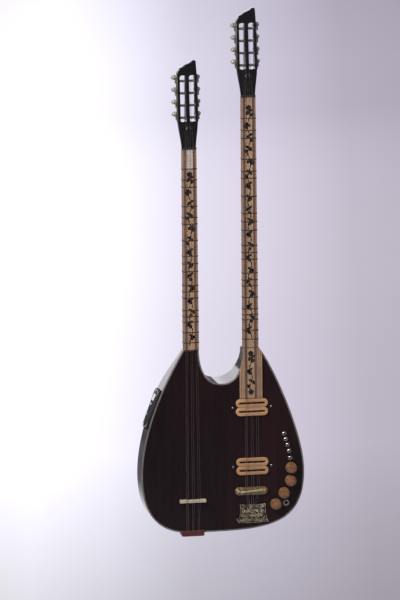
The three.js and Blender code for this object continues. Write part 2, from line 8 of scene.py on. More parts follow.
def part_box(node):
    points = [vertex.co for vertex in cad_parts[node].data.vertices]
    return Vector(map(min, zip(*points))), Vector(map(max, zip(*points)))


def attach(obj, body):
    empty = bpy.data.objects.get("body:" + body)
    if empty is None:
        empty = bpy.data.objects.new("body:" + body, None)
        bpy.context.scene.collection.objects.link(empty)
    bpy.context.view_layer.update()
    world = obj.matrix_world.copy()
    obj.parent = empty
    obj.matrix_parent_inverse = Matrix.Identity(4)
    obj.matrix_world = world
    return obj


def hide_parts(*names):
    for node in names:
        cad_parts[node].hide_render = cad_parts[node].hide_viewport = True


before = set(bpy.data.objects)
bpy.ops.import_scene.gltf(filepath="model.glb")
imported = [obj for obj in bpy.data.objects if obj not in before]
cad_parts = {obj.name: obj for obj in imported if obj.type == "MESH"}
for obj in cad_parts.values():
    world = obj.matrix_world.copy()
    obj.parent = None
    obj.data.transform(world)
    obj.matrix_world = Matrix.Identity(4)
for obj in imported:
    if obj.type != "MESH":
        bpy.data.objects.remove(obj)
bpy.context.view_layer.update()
ROOT = "instrument"  # the body that everything fixed rides on
MM = 0.001

# --- camera
# The view: from the left and a little above the playing side, with a slight roll.
scene = bpy.context.scene
right = Vector((0.9818, -0.1892, -0.0098)).normalized()
up = Vector((0.0443, 0.1790, 0.9829))
up = (up - right * up.dot(right)).normalized()
back = right.cross(up)
target = Vector((0.0197, 0.0, 0.4905))
distance = 30.0  # far off, because the photograph shows next to no perspective
FRAME_HEIGHT = 1.2245  # metres that the frame takes in at the target
cam = bpy.data.cameras.new("camera")
cam.sensor_fit = "VERTICAL"
cam.sensor_height = 24
cam.lens = cam.sensor_height * distance / FRAME_HEIGHT
cam.clip_end = 200
cam_obj = bpy.data.objects.new("camera", cam)
cam_obj.matrix_world = Matrix.Translation(target + back * distance) @ Matrix(
    (right, up, back)
).transposed().to_4x4()
scene.collection.objects.link(cam_obj)
scene.camera = cam_obj
scene.view_settings.view_transform = "Standard"
scene.view_settings.look = "None"

# --- measures, in millimetres
PITCH = 123.7
ROOT_Z = 388
NECKS = {"left": (0.0, 806.0, 73.5), "right": (PITCH, 909.0, 89.0)}  # x, nut, bridge
TILT = math.radians(-4)
HALF_ROOT, HALF_NUT = 16.2, 14.9
DEPTH_ROOT, DEPTH_NUT = 22.0, 19.0
BOARD_FRONT = -2.8


# --- mesh helpers
def new_mesh(name, verts, faces, angle=35):
    """A mesh from points in millimetres."""
    mesh = bpy.data.meshes.new(name)
    mesh.from_pydata([(x * MM, y * MM, z * MM) for x, y, z in verts], [], faces)
    mesh.update()
    finish_mesh(mesh, angle)
    return mesh


def finish_mesh(mesh, angle=35):
    for poly in mesh.polygons:
        poly.use_smooth = True
    mesh.set_sharp_from_angle(angle=math.radians(angle))


def recalc(mesh):
    bm = bmesh.new()
    bm.from_mesh(mesh)
    bmesh.ops.remove_doubles(bm, verts=bm.verts, dist=1e-6)
    bmesh.ops.recalc_face_normals(bm, faces=bm.faces)
    bm.to_mesh(mesh)
    bm.free()


def loft(rings, closed_ends=True):
    """Skin rings of points; returns (verts, faces)."""
    n = len(rings[0])
    verts = [p for ring in rings for p in ring]
    faces = []
    for r in range(len(rings) - 1):
        for i in range(n):
            a, b = r * n + i, r * n + (i + 1) % n
            faces.append((a, b, b + n, a + n))
    if closed_ends:
        faces.append(tuple(reversed(range(n))))
        faces.append(tuple((len(rings) - 1) * n + i for i in range(n)))
    return verts, faces


def curve_to_mesh(name, curve):
    holder = bpy.data.objects.new(name + "_curve", curve)
    scene.collection.objects.link(holder)
    bpy.context.view_layer.update()
    mesh = bpy.data.meshes.new_from_object(
        holder.evaluated_get(bpy.context.evaluated_depsgraph_get())
    )
    bpy.data.objects.remove(holder)
    bpy.data.curves.remove(curve)
    mesh.name = name
    return mesh


def skin(name, rings, angle=35, closed_ends=True):
    """A mesh lofted through rings, with its normals outwards."""
    mesh = new_mesh(name, *loft(rings, closed_ends), angle)
    recalc(mesh)
    finish_mesh(mesh, angle)
    return mesh


def plate(name, loops, y0, y1, bevel=0.0, res=3):
    """Outlines in the X-Z plane, filled, from y0 back to y1, with rounded edges."""
    curve = bpy.data.curves.new(name + "_curve", "CURVE")
    curve.dimensions = "2D"
    curve.fill_mode = "BOTH"
    for loop in loops:
        spline = curve.splines.new("POLY")
        spline.points.add(len(loop) - 1)
        for point, (x, z) in zip(spline.points, loop):
            point.co = (x * MM, z * MM, 0, 1)
        spline.use_cyclic_u = True
    bevel = min(bevel, (y1 - y0) / 2 * 0.98)
    curve.extrude = ((y1 - y0) / 2 - bevel) * MM
    curve.bevel_depth = bevel * MM
    curve.bevel_resolution = res
    curve.offset = -bevel * MM
    mesh = curve_to_mesh(name, curve)
    mesh.transform(
        Matrix.Translation((0, (y0 + y1) / 2 * MM, 0)) @ Matrix.Rotation(math.pi / 2, 4, "X")
    )
    recalc(mesh)
    finish_mesh(mesh)
    return mesh


def tube(name, points, radius, cyclic=False, res=3):
    """A round tube along points in millimetres."""
    curve = bpy.data.curves.new(name + "_curve", "CURVE")
    curve.dimensions = "3D"
    curve.bevel_depth = radius * MM
    curve.bevel_resolution = res
    curve.use_fill_caps = True
    spline = curve.splines.new("POLY")
    spline.points.add(len(points) - 1)
    for point, p in zip(spline.points, points):
        point.co = (p[0] * MM, p[1] * MM, p[2] * MM, 1)
    spline.use_cyclic_u = cyclic
    mesh = curve_to_mesh(name, curve)
    finish_mesh(mesh, 50)
    return mesh


def lathe(name, profile, sides=40, angle=35):
    """A profile of (radius, height) turned about Y; height runs towards the player (-Y)."""
    turns = [2 * math.pi * i / sides for i in range(sides)]
    rings = [
        [(max(r, 0.001) * math.cos(a), -h, max(r, 0.001) * math.sin(a)) for a in turns]
        for r, h in profile
    ]
    return skin(name, rings, angle)


def at(x, y, z):
    return Matrix.Translation((x * MM, y * MM, z * MM))


def joined(name, parts):
    """One mesh from (mesh, material) parts."""
    bm = bmesh.new()
    mats = []
    for mesh, mat in parts:
        if mat not in mats:
            mats.append(mat)
        before = len(bm.faces)
        bm.from_mesh(mesh)
        bm.faces.ensure_lookup_table()
        for face in bm.faces[before:]:
            face.material_index = mats.index(mat)
        bpy.data.meshes.remove(mesh)
    out = bpy.data.meshes.new(name)
    bm.to_mesh(out)
    bm.free()
    for mat in mats:
        out.materials.append(mat)
    return out


def piece(name, mesh, mat, body=ROOT, replaces=()):
    if mat is not None:
        mesh.materials.clear()
        mesh.materials.append(mat)
    obj = bpy.data.objects.new(name, mesh)
    scene.collection.objects.link(obj)
    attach(obj, body)
    if replaces:
        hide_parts(*replaces)
    return obj


# --- material helpers
class Mat:
    def __init__(self, name, rough=0.4, metal=0.0, coat=0.0, coat_rough=0.05, spec=0.5):
        self.mat = bpy.data.materials.new(name)
        self.mat.use_nodes = True
        self.n = self.mat.node_tree.nodes
        self.l = self.mat.node_tree.links
        self.b = self.n["Principled BSDF"]
        self.b.inputs["Roughness"].default_value = rough
        self.b.inputs["Metallic"].default_value = metal
        self.b.inputs["Coat Weight"].default_value = coat
        self.b.inputs["Coat Roughness"].default_value = coat_rough
        self.b.inputs["Specular IOR Level"].default_value = spec
        self.coord = self.n.new("ShaderNodeTexCoord").outputs["Object"]

    def mapped(self, scale):
        node = self.n.new("ShaderNodeMapping")
        node.inputs["Scale"].default_value = scale
        self.l.new(self.coord, node.inputs["Vector"])
        return node.outputs["Vector"]

    def noise(self, scale, stretch=(1, 1, 1), detail=6, rough=0.6, distortion=0.0):
        node = self.n.new("ShaderNodeTexNoise")
        node.inputs["Scale"].default_value = scale
        node.inputs["Detail"].default_value = detail
        node.inputs["Roughness"].default_value = rough
        node.inputs["Distortion"].default_value = distortion
        self.l.new(self.mapped(stretch), node.inputs["Vector"])
        return node.outputs["Fac"]

    def voronoi(self, scale, stretch=(1, 1, 1), feature="F1", output="Distance"):
        node = self.n.new("ShaderNodeTexVoronoi")
        node.feature = feature
        node.inputs["Scale"].default_value = scale
        self.l.new(self.mapped(stretch), node.inputs["Vector"])
        return node.outputs[output]

    def wave(self, scale, distortion, detail, stretch, direction):
        node = self.n.new("ShaderNodeTexWave")
        node.bands_direction = direction
        node.inputs["Scale"].default_value = scale
        node.inputs["Distortion"].default_value = distortion
        node.inputs["Detail"].default_value = detail
        self.l.new(self.mapped(stretch), node.inputs["Vector"])
        return node.outputs["Fac"]

    def ramp(self, fac, stops, constant=False):
        node = self.n.new("ShaderNodeValToRGB")
        node.color_ramp.interpolation = "CONSTANT" if constant else "LINEAR"
        elements = node.color_ramp.elements
        while len(elements) < len(stops):
            elements.new(0.5)
        for element, (pos, colour) in zip(elements, stops):
            element.position = pos
            element.color = (*colour, 1)
        self.l.new(fac, node.inputs["Fac"])
        return node.outputs["Color"]

    def mix(self, fac, a, b, mode="MIX"):
        node = self.n.new("ShaderNodeMix")
        node.data_type = "RGBA"
        node.blend_type = mode
        for value, socket in ((fac, node.inputs[0]), (a, node.inputs[6]), (b, node.inputs[7])):
            if isinstance(value, (int, float)):
                socket.default_value = value
            elif isinstance(value, tuple):
                socket.default_value = (*value, 1)
            else:
                self.l.new(value, socket)
        return node.outputs[2]

    def math(self, op, a, b=0.0, clamp=False):
        node = self.n.new("ShaderNodeMath")
        node.operation = op
        node.use_clamp = clamp
        for value, socket in ((a, node.inputs[0]), (b, node.inputs[1])):
            if isinstance(value, (int, float)):
                socket.default_value = value
            else:
                self.l.new(value, socket)
        return node.outputs[0]

    def axis(self, name):
        node = self.n.new("ShaderNodeSeparateXYZ")
        self.l.new(self.coord, node.inputs[0])
        return node.outputs[name]

    def colour(self, value):
        if isinstance(value, tuple):
            self.b.inputs["Base Color"].default_value = (*value, 1)
        else:
            self.l.new(value, self.b.inputs["Base Color"])
        return self

    def rough(self, fac, low, high):
        node = self.n.new("ShaderNodeMapRange")
        node.inputs["To Min"].default_value = low
        node.inputs["To Max"].default_value = high
        self.l.new(fac, node.inputs["Value"])
        self.l.new(node.outputs["Result"], self.b.inputs["Roughness"])
        return self

    def bump(self, height, distance=0.0003, strength=0.5):
        node = self.n.new("ShaderNodeBump")
        node.inputs["Strength"].default_value = strength
        node.inputs["Distance"].default_value = distance
        self.l.new(height, node.inputs["Height"])
        self.l.new(node.outputs["Normal"], self.b.inputs["Normal"])
        return self


def grain_wood(name, dark, light, rough=0.4, coat=0.3, along="Z", scale=9.0, bump=0.00008):
    """Wood with fibres along one axis."""
    m = Mat(name, rough, coat=coat, coat_rough=0.12)
    stretch = {"Z": (14, 14, 1), "X": (1, 14, 14), "Y": (14, 1, 14)}[along]
    fibres = m.noise(scale, stretch, 8, 0.65)
    rings = m.noise(scale * 0.35, tuple(0.5 * s for s in stretch), 3, 0.5, 0.6)
    both = m.math("ADD", m.math("MULTIPLY", fibres, 0.55), m.math("MULTIPLY", rings, 0.45))
    m.colour(m.ramp(both, [(0.36, dark), (0.64, light)]))
    m.rough(fibres, rough - 0.08, rough + 0.12)
    m.bump(fibres, bump)
    return m.mat


# --- materials
def lacquer(name, dark, red, rough=0.25, coat_ior=1.5, spec=0.3):
    m = Mat(name, rough, coat=1.0, coat_rough=0.05, spec=spec)
    m.b.inputs["Coat IOR"].default_value = coat_ior
    m.b.inputs["Coat Roughness"].default_value = 0.09
    fibres = m.noise(12, (9, 9, 0.7), 7, 0.7)
    broad = m.noise(3.2, (3.2, 3.2, 0.55), 3, 0.5)
    both = m.math("ADD", m.math("MULTIPLY", fibres, 0.45), m.math("MULTIPLY", broad, 0.55))
    m.colour(m.ramp(both, [(0.38, dark), (0.66, red)]))
    m.rough(fibres, rough - 0.05, rough + 0.1)
    m.bump(broad, 0.0004, 0.06)
    return m.mat


face_lacquer = lacquer("face_lacquer", (0.0050, 0.0028, 0.0038), (0.0200, 0.0062, 0.0070), 0.25, 1.3, 0.15)
side_lacquer = lacquer("side_lacquer", (0.0050, 0.0036, 0.0044), (0.0120, 0.0060, 0.0062), 0.25, 1.6, 0.3)
head_lacquer = lacquer("head_lacquer", (0.0040, 0.0040, 0.0055), (0.0090, 0.0085, 0.0105), 0.2, 1.5, 0.3)

m = Mat("edge_binding", 0.35, coat=0.6, coat_rough=0.1)
m.colour(m.ramp(m.noise(60, (1, 1, 1), 4), [(0.35, (0.115, 0.098, 0.102)), (0.65, (0.185, 0.165, 0.170))]))
binding_mat = m.mat


def fingerboard_mat(name, centre):
    """Laminated maple: a pale panel between dark lines, brown and tan stripes."""
    m = Mat(name, 0.35, coat=0.25, coat_rough=0.15)
    x = m.math("ABSOLUTE", m.math("SUBTRACT", m.axis("X"), centre * MM))
    wander = m.math("MULTIPLY", m.math("SUBTRACT", m.noise(5, (1, 1, 1), 2), 0.5), 0.0003)
    x = m.math("DIVIDE", m.math("ADD", x, wander), 0.024)
    pale, tan = (0.520, 0.340, 0.205), (0.430, 0.275, 0.175)
    red, dark, grey = (0.165, 0.085, 0.060), (0.050, 0.024, 0.018), (0.330, 0.225, 0.165)
    stops = [
        (0.0, pale), (7.4 / 24, dark), (7.9 / 24, red), (11.6 / 24, dark), (12.0 / 24, grey),
        (15.0 / 24, tan), (16.4 / 24, dark), (16.9 / 24, tan), (19.6 / 24, red), (20.8 / 24, tan),
    ]
    stripes = m.ramp(x, stops, True)
    fibres = m.noise(16, (12, 12, 0.8), 8, 0.7)
    flame = m.noise(26, (1, 1, 2.4), 3, 0.5)
    shade = m.ramp(
        m.math("ADD", m.math("MULTIPLY", fibres, 0.6), m.math("MULTIPLY", flame, 0.4)),
        [(0.32, (0.62, 0.60, 0.60)), (0.68, (1.15, 1.15, 1.15))],
    )
    m.colour(m.mix(1.0, stripes, shade, "MULTIPLY"))
    m.rough(fibres, 0.28, 0.45)
    m.bump(fibres, 0.00006)
    return m.mat


left_board_mat = fingerboard_mat("left_fingerboard_wood", 0)
right_board_mat = fingerboard_mat("right_fingerboard_wood", PITCH)
vine_mat = grain_wood("vine_wood", (0.008, 0.006, 0.005), (0.022, 0.014, 0.010), 0.45, 0.1)
gut = Mat("fret_gut", 0.45)
fibre = gut.noise(900, (1, 1, 1), 2)
gut.colour(gut.ramp(fibre, [(0.3, (0.012, 0.008, 0.007)), (0.7, (0.055, 0.035, 0.026))]))
gut_mat = gut.mat
bone_mat = grain_wood("bone", (0.40, 0.32, 0.22), (0.58, 0.50, 0.39), 0.4, 0.3, "X", 30, 0.00003)
tail_wood_mat = grain_wood("tail_wood", (0.045, 0.010, 0.008), (0.130, 0.038, 0.026), 0.35, 0.4, "X", 14)
pickup_mat = grain_wood("pickup_wood", (0.38, 0.195, 0.090), (0.60, 0.340, 0.180), 0.45, 0.1, "X", 20)
burr_mat = Mat("knob_wood", 0.3, coat=0.7, coat_rough=0.08)
burr = burr_mat.noise(170, (1, 1, 1), 6, 0.65, 1.2)
burr_mat.colour(burr_mat.ramp(
    burr, [(0.3, (0.085, 0.028, 0.012)), (0.52, (0.26, 0.105, 0.045)), (0.74, (0.46, 0.24, 0.11))]
))
burr_mat.bump(burr, 0.0001)
burr_mat = burr_mat.mat


def pearl(name, base, tint, scale=90.0, rough=0.22):
    m = Mat(name, rough, coat=0.8, coat_rough=0.05)
    cells = m.voronoi(scale, (1, 1, 1), "F1", "Color")
    cloud = m.noise(scale * 1.6, (1, 1, 0.6), 4, 0.6, 0.8)
    m.colour(m.mix(m.math("MULTIPLY", cloud, 0.8, True), m.mix(0.12, base, cells), tint))
    m.bump(cloud, 0.00005)
    return m.mat


pearl_mat = pearl("pearl", (0.42, 0.38, 0.33), (0.74, 0.70, 0.64))
button_mat = pearl("key_pearl", (0.16, 0.145, 0.125), (0.50, 0.47, 0.43), 260)
rim_mat = grain_wood("knob_rim", (0.075, 0.032, 0.014), (0.300, 0.160, 0.075), 0.3, 0.6, "X", 60)


def metal(name, base, rough, scale=300.0, spread=0.1, bump=0.00002):
    m = Mat(name, rough, metal=1.0)
    wear = m.noise(scale, (1, 1, 1), 4, 0.6)
    m.colour(m.ramp(wear, [(0.3, tuple(0.75 * c for c in base)), (0.7, base)]))
    m.rough(wear, rough, rough + spread)
    m.bump(wear, bump, 0.3)
    return m.mat


nickel = metal("nickel", (0.42, 0.38, 0.35), 0.3)
chrome = metal("chrome", (0.50, 0.47, 0.44), 0.16, 500, 0.08)
steel_dark = metal("blackened_steel", (0.05, 0.045, 0.045), 0.35)
string_steel = metal("string_steel", (0.46, 0.42, 0.40), 0.32, 2000)
wound_mat = Mat("wound_string", 0.3, metal=1.0)
winding = wound_mat.wave(900, 0, 0, (1, 1, 1), "Z")
wound_mat.colour(wound_mat.ramp(winding, [(0.2, (0.10, 0.07, 0.05)), (0.8, (0.32, 0.25, 0.18))]))
wound_mat = wound_mat.mat
gold_mat = Mat("engraved_gilt", 0.25, metal=1.0)
cut = gold_mat.voronoi(420, (1, 1, 1), "DISTANCE_TO_EDGE")
gold_mat.colour(gold_mat.ramp(
    cut, [(0.0, (0.10, 0.062, 0.022)), (0.16, (0.50, 0.36, 0.16)), (0.5, (0.82, 0.68, 0.42))]
))
gold_mat.rough(cut, 0.45, 0.2)
gold_mat.bump(cut, 0.0006, 0.9)
gold_mat = gold_mat.mat
silver_base = Mat("filigree_ground", 0.45, metal=0.85)
ground = silver_base.noise(500, (1, 1, 1), 5, 0.7)
silver_base.colour(silver_base.ramp(ground, [(0.35, (0.020, 0.015, 0.010)), (0.68, (0.10, 0.080, 0.052))]))
silver_base.bump(ground, 0.0004, 0.8)
silver_base = silver_base.mat
silver = Mat("filigree_wire", 0.3, metal=1.0)
patina = silver.noise(210, (1, 1, 1), 4, 0.6)
silver.colour(silver.ramp(
    patina, [(0.38, (0.10, 0.075, 0.045)), (0.52, (0.52, 0.43, 0.29)), (0.66, (0.86, 0.78, 0.62))]
))
silver.bump(patina, 0.0002, 0.5)
silver = silver.mat
plastic = Mat("preamp_plastic", 0.5, spec=0.12)
fine = plastic.noise(700, (1, 1, 1), 3)
plastic.colour(plastic.ramp(fine, [(0.3, (0.010, 0.010, 0.013)), (0.7, (0.020, 0.020, 0.026))]))
plastic.bump(fine, 0.00004)
plastic = plastic.mat


# --- the body
def bezier(p0, p1, p2, p3, n):
    out = []
    for i in range(n):
        t = i / n
        weights = (1 - t) ** 3, 3 * (1 - t) ** 2 * t, 3 * (1 - t) * t * t, t**3
        corners = list(zip(weights, (p0, p1, p2, p3)))
        out.append((sum(w * p[0] for w, p in corners), sum(w * p[1] for w, p in corners)))
    return out


def body_outline(n=72):
    h = HALF_ROOT
    pts = bezier((-h, ROOT_Z), (-42.5, 343), (-105.5, 234), (-105.5, 126), n)
    pts += bezier((-105.5, 126), (-105.5, 0), (-16, 6.5), (10, 6.5), n)
    pts += bezier((10, 6.5), (152, 6.5), (233.5, 6.5), (233.5, 129), n)
    pts += bezier((233.5, 129), (233.5, 203), (170, 352), (PITCH + h, ROOT_Z), n)
    pts += [(PITCH + h - 2 * h * i / 8, ROOT_Z) for i in range(8)]
    pts += bezier((PITCH - h, ROOT_Z), (107, 356), (102, 314), (64.5, 314), n // 2)
    pts += bezier((64.5, 314), (50, 314), (17, 320), (h, ROOT_Z), n // 2)
    pts += [(h - 2 * h * i / 8, ROOT_Z) for i in range(8)]
    return pts


def inset(points, d):
    """Moves a loop inwards by d (it runs anticlockwise in X-Z)."""
    n = len(points)
    out = []
    for i, (x, z) in enumerate(points):
        ax, az = points[i - 1]
        bx, bz = points[(i + 1) % n]
        a = Vector((x - ax, z - az)).normalized()
        b = Vector((bx - x, bz - z)).normalized()
        nrm = Vector((-(a.y + b.y), a.x + b.x))
        nrm.normalize()
        spread = max(0.5, math.sqrt(max(0.0, (1 + a.dot(b)) / 2)))
        out.append((x + nrm.x * d / spread, z + nrm.y * d / spread))
    return out


def smoothstep(x, lo, hi):
    t = min(1.0, max(0.0, (x - lo) / (hi - lo)))
    return t * t * (3 - 2 * t)


def body_depth(x, z):
    across = min(1.0, abs(x - 62) / 125)
    arch = 56 + 36 * math.cos(math.pi / 2 * across) ** 2
    rise = smoothstep(z, 302, 392)
    tail = 1 - smoothstep(z, -10, 70)
    return arch * (1 - 0.68 * rise - 0.1 * tail)


OUTLINE = body_outline()
RIM = 3.2


def pill(x, z, half, r, n=14):
    """An outline with round ends, long in X."""
    pts = [(x + half - r + r * math.cos(a), z + r * math.sin(a)) for a in
           [-math.pi / 2 + math.pi * i / n for i in range(n + 1)]]
    pts += [(x - half + r + r * math.cos(a), z + r * math.sin(a)) for a in
            [math.pi / 2 + math.pi * i / n for i in range(n + 1)]]
    return pts


def circle(x, z, r, n=32):
    return [
        (x + r * math.cos(2 * math.pi * i / n), z + r * math.sin(2 * math.pi * i / n))
        for i in range(n)
    ]


def rect(x0, x1, z0, z1):
    return [(x0, z0), (x1, z0), (x1, z1), (x0, z1)]


def hexagon(radius, turn):
    return [
        (radius * math.cos(math.pi / 3 * k + turn), radius * math.sin(math.pi / 3 * k + turn))
        for k in range(6)
    ]


def centre_of(node):
    lo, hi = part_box(node)
    return [(a + b) / 2 / MM for a, b in zip(lo, hi)]


knob_spots = [centre_of(f"control_knob_{i}") for i in range(1, 5)]
LEVERS = [(192, 205), (195.3, 193.2), (199, 181.4), (202, 168.4), (204.3, 153.4)]
JACK = (195.2, 60.6)

holes = [circle(x, z, 3.4, 20) for x, _, z in knob_spots]
holes += [circle(x, z, 3.3, 20) for x, z in LEVERS]
holes += [circle(*JACK, 5.0, 24)]
PICK_X = PITCH + 1.5
holes += [pill(PICK_X, z, 30, 14, 12) for z in (263, 140)]
face = plate("face", [inset(OUTLINE, RIM)] + holes, 0.0, 4.0, 0.0)
piece("face", face, face_lacquer, replaces=("soundboard",))
edge = plate("edge_binding", [OUTLINE, inset(OUTLINE, RIM - 0.02)], 0.0, 4.0, 0.7)
piece("edge_binding", edge, binding_mat)


def spine_target(x):
    return (min(115.0, max(10.0, x)), 150.0)


def build_bowl():
    """The sides, and the arched back with its rounded edge, as two closed skins."""
    radius = 9.0
    rows = 9
    outer = OUTLINE
    rings = []
    for k in range(rows):
        ring = []
        for x, z in outer:
            stop = body_depth(x, z) - radius * 0.9
            ring.append((x, 4.05 + (stop - 4.05) * k / (rows - 1), z))
        rings.append(ring)
    inner = inset(outer, 4.5)
    inner_rings = []
    for k in (rows - 1, 0):
        ring = []
        for (x, z), (ox, oz) in zip(inner, outer):
            stop = body_depth(ox, oz) - radius * 0.9
            ring.append((x, 4.05 + (stop - 4.05) * k / (rows - 1), z))
        inner_rings.append(ring)
    sides = skin("sides", rings + inner_rings + [rings[0]], 40, closed_ends=False)
    # the back
    steps = [0, 0.05, 0.15, 0.3, 0.5, 0.75, 1.0]
    rings = []
    for s in steps:
        ring = []
        for x, z in outer:
            tx, tz = spine_target(x)
            d = Vector((tx - x, tz - z)).normalized()
            move = radius * (1 - math.cos(s * math.pi / 2))
            px, pz = x + d.x * move, z + d.y * move
            drop = radius * 0.9 * (1 - math.sin(s * math.pi / 2))
            ring.append((px, body_depth(px, pz) - drop, pz))
        rings.append(ring)
    start = rings[-1]
    inner_steps = 26
    for k in range(1, inner_steps + 1):
        t = k / inner_steps
        ring = []
        for (x, z), (px, _, pz) in zip(outer, start):
            tx, tz = spine_target(x)
            qx, qz = px + (tx - px) * t, pz + (tz - pz) * t
            ring.append((qx, body_depth(qx, qz), qz))
        rings.append(ring)
    shell = skin("back", rings, 60, closed_ends=False)
    return sides, shell


sides_mesh, back_mesh = build_bowl()
piece("sides", sides_mesh, side_lacquer, replaces=("body_sides",))
piece("back", back_mesh, side_lacquer, replaces=("body_back",))


# --- necks and heads
def section(x, z, half, depth, straight=5.0, n=22):
    """A neck's cross-section at height z: flat in front, round behind."""
    pts = [(x - half, 0.0, z), (x + half, 0.0, z)]
    for i in range(n + 1):
        a = math.pi * i / n
        pts.append(
            (x + half * math.cos(a), straight + (depth - straight) * math.sin(a), z)
        )
    return pts


def neck_size(neck, z):
    x, nut, _ = NECKS[neck]
    t = (z - ROOT_Z) / (nut - ROOT_Z)
    return HALF_ROOT + (HALF_NUT - HALF_ROOT) * t, DEPTH_ROOT + (DEPTH_NUT - DEPTH_ROOT) * t


HEAD_W = 20.0


def head_outline():
    w, r = HEAD_W, 14.6
    pts = [(-r, -1), (r, -1)]
    pts += bezier((r, -1), (r + 1, 18), (w - 1, 34), (w, 50), 12)[1:]
    # a shallow scallop beside each machine
    steps = [(k, i / 8) for k in range(4) for i in range(8)]
    pts += [(w - 0.9 * math.sin(math.pi * t) ** 2, 50 + 24 * (k + t)) for k, t in steps]
    pts += bezier((w, 146), (w - 0.5, 158), (18.8, 166), (18.4, 176), 8)
    pts += bezier((18.4, 176), (18, 180.5), (13, 181), (9, 176.5), 7)
    pts += bezier((9, 176.5), (5, 172), (-2, 172.5), (-6.5, 168.5), 7)
    pts += bezier((-6.5, 168.5), (-10, 164), (-15, 166), (-18, 160), 7)
    pts += bezier((-18, 160), (-20, 156), (-w, 152), (-w, 146), 7)
    steps = [(k, 1 - i / 8) for k in (3, 2, 1, 0) for i in range(8)]
    pts += [(-w + 0.9 * math.sin(math.pi * t) ** 2, 50 + 24 * (k + t)) for k, t in steps]
    pts += bezier((-w, 50), (-w + 1, 34), (-r - 1, 18), (-r, -1), 12)
    return pts


def slot_outline(side):
    near, far = side * 3.7, side * 15.4
    mid = (near + far) / 2
    pts = [(near, 56), (near, 145)]
    for i in range(1, 12):
        a = math.pi * i / 12
        pts.append((mid + (near - mid) * math.cos(a), 145 + 4.0 * math.sin(a)))
    pts += [(far, 145), (far, 56)]
    for i in range(1, 12):
        a = math.pi * i / 12
        pts.append((mid + (far - mid) * math.cos(a), 56 - 2.0 * math.sin(a)))
    return pts


def head_matrix(neck):
    x, nut, _ = NECKS[neck]
    return at(x, 0, nut) @ Matrix.Rotation(TILT, 4, "X")


for neck, (nx, nut, bridge) in NECKS.items():
    rings = []
    count = 14
    for k in range(count + 1):
        z = ROOT_Z + 0.3 + (nut - ROOT_Z - 0.3) * k / count
        half, depth = neck_size(neck, z)
        rings.append(section(nx, z, half, depth))
    shaft = skin(neck + "_shaft", rings, 50)
    head = plate(neck + "_head", [head_outline(), slot_outline(-1), slot_outline(1)], 0.0, 16.0, 1.4, 3)
    # the root of the head is thinner and round behind, like the neck
    for v in head.vertices:
        x, y, z = v.co.x / MM, v.co.y / MM, v.co.z / MM
        k = 1 - smoothstep(z, 6, 52)
        if k > 0 and y > 5:
            half = 14.6 + 5.4 * (1 - k)
            fall = min(1.0, abs(x) / half)
            y = y - k * (y - 5) * (1 - math.sqrt(max(0.0, 1 - fall**2.2))) * 0.95
            v.co.y = y * MM
    head.update()
    head.transform(head_matrix(neck))
    # a carved drop on the head's face, below the slots
    relief = []
    for k in range(13):
        t = k / 12
        zc = 10 + 37 * t
        wid = 7.6 * math.sin(math.pi * min(1.0, t * 1.02 + 0.02)) ** 0.62
        rise = 1.5 * math.sin(math.pi * t) ** 0.7
        turns = [2 * math.pi * i / 24 for i in range(24)]
        relief.append([
            (wid * math.cos(a), -rise * abs(math.sin(a)) if math.sin(a) > 0 else 0.4, zc)
            for a in turns
        ])
    drop = skin(neck + "_drop", relief, 60)
    drop.transform(head_matrix(neck))
    heel = [
        section(nx, z, h, d, 6)
        for z, h, d in ((ROOT_Z - 1, 12, 19), (ROOT_Z + 0.5, 12, 19))
    ]
    heel_mesh = new_mesh(neck + "_heel", *loft(heel))
    solids = (shaft, head, drop, heel_mesh)
    mesh = joined(neck + "_neck_piece", [(solid, head_lacquer) for solid in solids])
    piece(neck + "_neck_and_head", mesh, None, replaces=(neck + "_neck",))

# fingerboards keep their CAD solids
for neck, mat in (("left", left_board_mat), ("right", right_board_mat)):
    obj = bpy.data.objects[neck + "_fingerboard"]
    obj.data.materials.clear()
    obj.data.materials.append(mat)

# --- frets, nuts, pearl and vine
# The tied frets, in semitones above the open string. The steps are approximate and listed,
# and so is the factor that widens them on the left neck.
LEFT_STRETCH = 1.035
STEPS = [1, 1.57, 1.95, 3, 3.64, 4.03, 5.06, 6.08, 6.6, 7.16, 8.2, 8.7, 9.2, 10.25, 10.8, 11.3,
         12.3, 13.35, 13.9, 14.4, 15.5, 16.5, 17.45]
for neck, (nx, nut, bridge) in NECKS.items():
    parts = []
    stretch = LEFT_STRETCH if neck == "left" else 1.0
    for step in STEPS:
        z = nut - (nut - bridge) * (1 - 2 ** (-step * stretch / 12))
        if z < ROOT_Z + 6:
            continue
        half, depth = neck_size(neck, z)
        g = 0.42
        for turn in (-0.42, 0.42):
            path = [
                (nx - half - g, BOARD_FRONT - 0.1, z + turn),
                (nx - half + 0.6, BOARD_FRONT - g, z + turn),
                (nx + half - 0.6, BOARD_FRONT - g, z + turn),
                (nx + half + g, BOARD_FRONT - 0.1, z + turn),
            ]
            for i in range(0, 19):
                a = math.pi * i / 18
                path.append((nx + (half + g) * math.cos(a), 5 + (depth + g - 5) * math.sin(a), z + turn))
            parts.append((tube("fret", path, 0.42, True, 1), gut_mat))
    piece(neck + "_frets", joined(neck + "_frets", parts), None)
    # nut: a low bar of dark wood
    outline = rect(nx - HALF_NUT, nx + HALF_NUT, nut - 1.9, nut + 1.6)
    bar = plate("nut", [outline], -4.6, 0.6, 0.5, 2)
    ebony = grain_wood(
        neck + "_nut_ebony", (0.010, 0.008, 0.008), (0.035, 0.026, 0.022), 0.35, 0.4, "X"
    )
    piece(neck + "_nut", bar, ebony)


